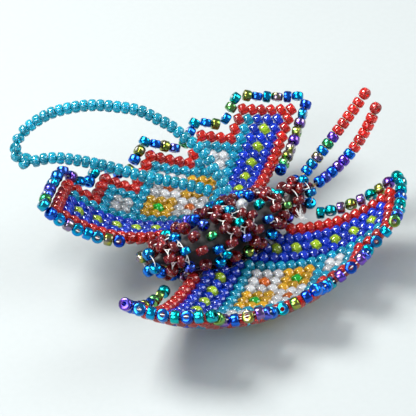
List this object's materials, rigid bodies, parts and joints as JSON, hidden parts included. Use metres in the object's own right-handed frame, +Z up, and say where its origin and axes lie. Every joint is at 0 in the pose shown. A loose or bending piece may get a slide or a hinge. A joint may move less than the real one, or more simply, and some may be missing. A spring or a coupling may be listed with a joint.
{
  "type": "beaded butterfly ornament",
  "caption": "Butterfly ornament of glass seed beads: two woven wings, a netted body, a head with wired antennae and a hanging loop.",
  "frame": {"origin": "on the resting surface, below the middle of the box around wings, body and antennae, without the hanging loop", "axes": "+X from the tail to the head, +Y to the left wing, +Z up"},
  "size_m": [0.0612, 0.0531, 0.0261],
  "materials": {
    "stuffing": "dark felt-like stuffing",
    "white_thread": "waxed nylon",
    "brass_wire": "polished",
    "loop_cord": "nylon thread",
    "cyan_beads": "transparent glass with a silver lining",
    "clear_beads": "clear glass with a silver lining",
    "dark_iris_beads": "opaque dark glass with an iridescent metallic coat",
    "ruby_beads": "transparent ruby glass with a silver lining",
    "red_beads": "transparent glass with a silver lining",
    "blue_beads": "transparent glass with a silver lining",
    "lime_beads": "transparent glass with a silver lining",
    "turquoise_beads": "transparent glass with a silver lining",
    "gold_beads": "transparent glass with a silver lining",
    "green_beads": "transparent glass with a silver lining",
    "orange_beads": "transparent glass with a silver lining"
  },
  "bodies": {
    "body": {"body_core": "stuffing", "body_red_beads": "ruby_beads", "body_iris_beads": "dark_iris_beads", "body_clear_bead": "clear_beads", "head_red_beads": "ruby_beads", "head_iris_beads": "dark_iris_beads", "thread_tuft": "white_thread", "loop_cord": "loop_cord", "loop_beads": "cyan_beads"},
    "right_wing": {"right_wing_red_beads": "red_beads", "right_wing_blue_beads": "blue_beads", "right_wing_lime_beads": "lime_beads", "right_wing_turquoise_beads": "turquoise_beads", "right_wing_clear_beads": "clear_beads", "right_wing_gold_beads": "gold_beads", "right_wing_green_beads": "green_beads", "right_wing_orange_beads": "orange_beads", "right_wing_edging_beads": "dark_iris_beads", "right_wing_seam_thread": "white_thread"},
    "left_wing": {"left_wing_red_beads": "red_beads", "left_wing_blue_beads": "blue_beads", "left_wing_lime_beads": "lime_beads", "left_wing_turquoise_beads": "turquoise_beads", "left_wing_clear_beads": "clear_beads", "left_wing_gold_beads": "gold_beads", "left_wing_green_beads": "green_beads", "left_wing_orange_beads": "orange_beads", "left_wing_edging_beads": "dark_iris_beads", "left_wing_seam_thread": "white_thread"},
    "right_antenna": {"right_antenna_wire": "brass_wire", "right_antenna_iris_beads": "dark_iris_beads", "right_antenna_red_beads": "red_beads", "right_antenna_tip_bead": "red_beads"},
    "left_antenna": {"left_antenna_wire": "brass_wire", "left_antenna_iris_beads": "dark_iris_beads", "left_antenna_red_beads": "red_beads", "left_antenna_tip_bead": "red_beads"}
  },
  "joints": [
    {"name": "right_wing_flex", "type": "hinge", "parent": "body", "child": "right_wing", "pos_m": [0, -0.00497, 0.0042], "axis": [1, 0, 0], "range_deg": [-5, 4]},
    {"name": "left_wing_flex", "type": "hinge", "parent": "body", "child": "left_wing", "pos_m": [0, 0.00497, 0.0073], "axis": [1, 0, 0], "range_deg": [-8, 2]},
    {"name": "right_antenna_bend", "type": "hinge", "parent": "body", "child": "right_antenna", "pos_m": [0.0156, -0.0015, 0.00933], "axis": [0, 1, 0], "range_deg": [-8, 8]},
    {"name": "left_antenna_bend", "type": "hinge", "parent": "body", "child": "left_antenna", "pos_m": [0.0156, 0.0015, 0.00933], "axis": [0, 1, 0], "range_deg": [-8, 8]}
  ]
}
